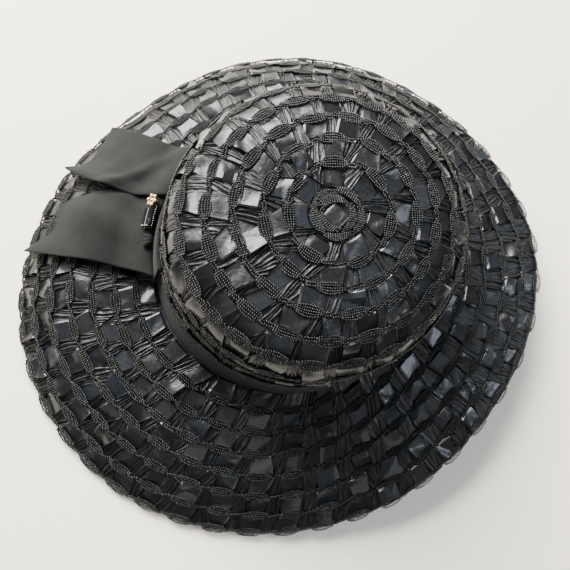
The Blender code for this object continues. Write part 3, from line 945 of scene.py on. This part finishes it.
def buildTail(name, node, tail, flat):
    alongSteps, acrossSteps = bothTails["alongSteps"], bothTails["acrossSteps"]
    rows = np.zeros((acrossSteps + 1, alongSteps + 1, 3))
    fray = rng.normal(0, bothTails["fray"], acrossSteps + 1)
    for i in range(acrossSteps + 1):
        across = i / acrossSteps
        corner = tail["corner"] * max(1 - across / bothTails["cornerWide"], 0.0) ** 2
        for j in range(alongSteps + 1):
            along = j / alongSteps
            arch = math.sin(math.pi * along)
            stretch = along * (1 - corner + (fray[i] if j == alongSteps else 0))
            sag = tail["sag"] * math.sin(math.pi * min(along * tail["sagPlaces"], 1)) ** bothTails["sagRound"]
            reach = across + sag * across**2
            point = tailPoint(tail, stretch, reach)
            edge = easeIn(reach, *bothTails["edgeAt"])
            off = (across - tail["foldFrom"] - tail["foldSlant"] * along) / tail["foldWide"]
            fold = tail["foldDeep"] * math.exp(-off**2)
            fold *= math.sin(math.pi * min(along * bothTails["foldSpeed"], 1))
            point[2] += tail["edgeUp"] * edge * arch + bothTails["clear"] + fold
            rows[i, j] = point
    piece = clothSheet(name, rows, flat, ribbon["thick"], ribbonCloth)
    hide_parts(node)


buildBand()
buildLap()
buildTail("upper_tail_ribbon", "bow_tail_upper", tails["upper"], (0.045, 0.083))
buildTail("lower_tail_ribbon", "bow_tail_lower", tails["lower"], (0.058, 0.066))
print("ribbon made")


# ornament: the same seat and tilt as the setting it replaces

ornament = {
    "angle": 214.0, "out": 10.4, "height": 52.8, "tilt": 40.0, "crisp": 40.0,
    "plate": (21.0, 7.5, 1.4), "plateBevel": 0.45, "claw": 0.5, "clawHeight": 2.6,
    "stone": (12.4, 6.0, 3.0), "stoneSeat": (3.6, 0.0, 2.0), "stoneGap": 0.15,
    "stoneSteps": ((0.5, 0.5), (0.5, 0.35)),  # inset and rise of each cut step
    "beads": 8, "bead": 0.55, "beadInset": 0.8, "beadAside": 0.9, "beadHeight": 1.3,
    "cluster": -8.2,
    "clusterRings": ((0.0, 1, 1.7, 1.725), (2.8, 6, 2.4, 1.5)),  # reach, balls, height, size
    "clusterLong": 1.15, "clusterTurn": 0.3,
}
wound = {
    "angle": 224.5, "out": 9.6, "height": 53.35, "winds": 3, "size": (1.9, 3.1, 1.9),
    "step": (2.3, 0.0, 0.1), "fan": 0.35, "ripple": 0.18, "ripples": 3,
}


def seatMatrix(angle, out, height):
    # turned to face out from the wall, and tilted back
    facing = Euler((0, 0, math.radians(angle + 90))).to_matrix().to_4x4()
    tilt = Euler((math.radians(ornament["tilt"]), 0, 0)).to_matrix().to_4x4()
    place = wallPoint(np.array(float(angle)), out, np.array(float(height)))
    shift = Matrix.Translation(Vector(place + np.array(hat["axis"])) * mm)
    return shift @ facing @ tilt


def hardPiece(name, bm, seat, finish, smooth=True):
    # a bmesh in mm, put on its seat as a finished piece
    bmesh.ops.scale(bm, vec=Vector((mm, mm, mm)), verts=bm.verts)
    bmesh.ops.transform(bm, matrix=seat, verts=bm.verts)
    bmesh.ops.recalc_face_normals(bm, faces=bm.faces)
    mesh = meshOf(name, bm, finish)
    if smooth:
        mesh.shade_smooth()
        mesh.set_sharp_from_angle(angle=math.radians(ornament["crisp"]))
    piece = linked(name, mesh)
    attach(piece, "root")
    return piece


def addBox(bm, size, place, bevel):
    made = bmesh.ops.create_cube(bm, size=1.0)["verts"]
    bmesh.ops.scale(bm, vec=Vector(size), verts=made)
    bmesh.ops.translate(bm, vec=Vector(place), verts=made)
    edges = list({edge for vert in made for edge in vert.link_edges})
    bmesh.ops.bevel(bm, geom=edges, offset=bevel, segments=2, profile=0.5, affect="EDGES", material=-1)


def addBall(bm, place, radius, steps=10):
    made = bmesh.ops.create_uvsphere(bm, u_segments=steps, v_segments=10, radius=radius)["verts"]
    bmesh.ops.translate(bm, vec=Vector(place), verts=made)


def buildSetting(seat):
    bm = bmesh.new()
    addBox(bm, ornament["plate"], (0, 0, 0), ornament["plateBevel"])
    x = ornament["stoneSeat"][0]
    long, wide, _ = ornament["stone"]
    # four claws hold the long stone
    for side in (-1, 1):
        for y in (-1, 1):
            place = (x + side * (long / 2), y * wide / 2, ornament["clawHeight"])
            addBall(bm, place, ornament["claw"])
    setting = hardPiece("ornament_setting", bm, seat, darkMetal)
    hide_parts("bow_ornament")
    cluster = bmesh.new()
    for reach, count, height, size in ornament["clusterRings"]:
        for i in range(count):
            turn = 2 * math.pi * i / count + ornament["clusterTurn"]
            place = (ornament["cluster"] + reach * ornament["clusterLong"] * math.cos(turn),
                     reach * math.sin(turn), height)
            addBall(cluster, place, size, 14)
    hardPiece("ornament_gilt_balls", cluster, seat, gilt)


def buildStones(seat):
    x, y, z = ornament["stoneSeat"]
    long, wide, tall = ornament["stone"]
    # two step-cut baguettes side by side: girdle, two steps and a table
    bm = bmesh.new()
    for part in (-1, 1):
        made = bmesh.ops.create_cube(bm, size=1.0)["verts"]
        bmesh.ops.scale(bm, vec=Vector((long, wide / 2 - ornament["stoneGap"], tall)), verts=made)
        top = [f for f in bm.faces if all(v in made for v in f.verts) and f.normal.z > 0.9]
        for inset, rise in ornament["stoneSteps"]:
            bmesh.ops.inset_region(bm, faces=top, thickness=inset, depth=0.0)
            bmesh.ops.translate(bm, vec=Vector((0, 0, rise)), verts=list({v for f in top for v in f.verts}))
        # the steps' own corners move to the seat with the rest of the stone
        linked = set(made)
        grow = True
        while grow:
            more = {e.other_vert(v) for v in linked for e in v.link_edges} - linked
            linked |= more
            grow = bool(more)
        bmesh.ops.translate(bm, vec=Vector((x, y + part * wide / 4, z)), verts=list(linked))
    hardPiece("ornament_baguette_stones", bm, seat, glass, smooth=False)
    beads = bmesh.new()
    start = x - long / 2 + ornament["beadInset"]
    step = (long - 2 * ornament["beadInset"]) / (ornament["beads"] - 1)
    for side in (-1, 1):
        for i in range(ornament["beads"]):
            place = (start + i * step, side * (wide / 2 + ornament["beadAside"]), ornament["beadHeight"])
            addBall(beads, place, ornament["bead"])
    hardPiece("ornament_dark_beads", beads, seat, glass)


def buildKnot():
    # a small flattened knot: ribbon wound three times, in the ribbon's cloth painted darker as painted shade
    bm = bmesh.new()
    wide, long, high = wound["size"]
    for i in range(wound["winds"]):
        made = bmesh.ops.create_uvsphere(bm, u_segments=24, v_segments=16, radius=1.0)["verts"]
        for vert in made:
            vert.co = Vector((vert.co.x * wide, vert.co.y * long, vert.co.z * high))
            vert.co.z += wound["ripple"] * math.sin(vert.co.y * wound["ripples"] + i)
        bmesh.ops.rotate(bm, verts=made, matrix=Euler((0, 0, wound["fan"] * (i - 1))).to_matrix())
        bmesh.ops.translate(bm, vec=Vector((wound["step"][0] * (i - 1), 0, wound["step"][2] * i)), verts=made)
    bm.loops.layers.uv.new("cloth")  # left empty: no ribs show on the knot
    seat = seatMatrix(wound["angle"], wound["out"], wound["height"])
    knot = hardPiece("knot_ribbon", bm, seat, shadedKnotCloth)
    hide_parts("bow_knot")


seat = seatMatrix(ornament["angle"], ornament["out"], ornament["height"])
buildSetting(seat)
buildStones(seat)
buildKnot()
print("ornament made")


# floor, light and camera

studio = {
    "floorSize": 6.0,
    "skyColour": "#e6e8ea",
    "skyStrength": 0.3,
}
lamps = {
    "window": {"place": (-1.14, 0.3, 0.88), "size": (1.15, 0.95), "power": 142.0, "colour": "#fffdf8"},
    "fill": {"place": (0.3, -0.9, 1.6), "size": (1.0, 1.0), "power": 5.0, "colour": "#ffffff"},
    "skylight": {"place": (0.78, 0.72, 1.42), "size": (0.5, 0.5), "power": 12.0, "colour": "#dfe9f7"},
}
# the solved view: place in mm from the hat's axis, angles in degrees, focal length in pixels
photoView = {
    "place": (16.0, -152.0, 431.0),
    "elevation": 72.0,
    "azimuth": 7.0,
    "roll": 38.3,
    "focal": 620.0,
    "pixels": 570.0,
    "sensor": 36.0,
}


def aimedLamp(name, place, size, power, colour):
    # a lamp that faces the ground under the middle of the hat
    data = bpy.data.lights.new(name, "AREA")
    data.shape = "RECTANGLE"
    data.size, data.size_y = size
    data.energy = power
    data.color = linear(colour)[:3]
    lamp = linked(name, data)
    lamp.location = place
    lamp.rotation_euler = (-Vector(place)).to_track_quat("-Z", "Y").to_euler()


def buildStudio():
    bm = bmesh.new()
    bmesh.ops.create_grid(bm, x_segments=2, y_segments=2, size=studio["floorSize"] / 2)
    floor = linked("floor", meshOf("floor", bm, paleFloor()))
    for name, lamp in lamps.items():
        aimedLamp(name, **lamp)
    world = bpy.data.worlds.new("studio")
    world.use_nodes = True
    world.node_tree.nodes["Background"].inputs["Color"].default_value = linear(studio["skyColour"])
    world.node_tree.nodes["Background"].inputs["Strength"].default_value = studio["skyStrength"]
    bpy.context.scene.world = world


def buildCamera():
    tilt = math.radians(photoView["elevation"])
    turn = math.radians(photoView["azimuth"])
    roll = math.radians(photoView["roll"])
    ahead = Vector((-math.sin(turn), math.cos(turn), 0)) * math.cos(tilt) + Vector((0, 0, -math.sin(tilt)))
    right = Vector((math.cos(turn), math.sin(turn), 0))
    up = right.cross(ahead)
    rolledRight = right * math.cos(roll) + up * math.sin(roll)
    rolledUp = up * math.cos(roll) - right * math.sin(roll)
    data = bpy.data.cameras.new("photo_view")
    data.sensor_width = photoView["sensor"]
    data.lens = photoView["sensor"] * photoView["focal"] / photoView["pixels"]
    data.clip_start = 0.01
    camera = linked("photo_view", data)
    pose = Matrix((rolledRight, rolledUp, -ahead)).transposed().to_4x4()
    shift = Vector(hat["axis"])
    pose.translation = (Vector(photoView["place"]) + shift) * mm
    camera.matrix_world = pose
    bpy.context.scene.camera = camera


buildStudio()
buildCamera()
print("studio made")
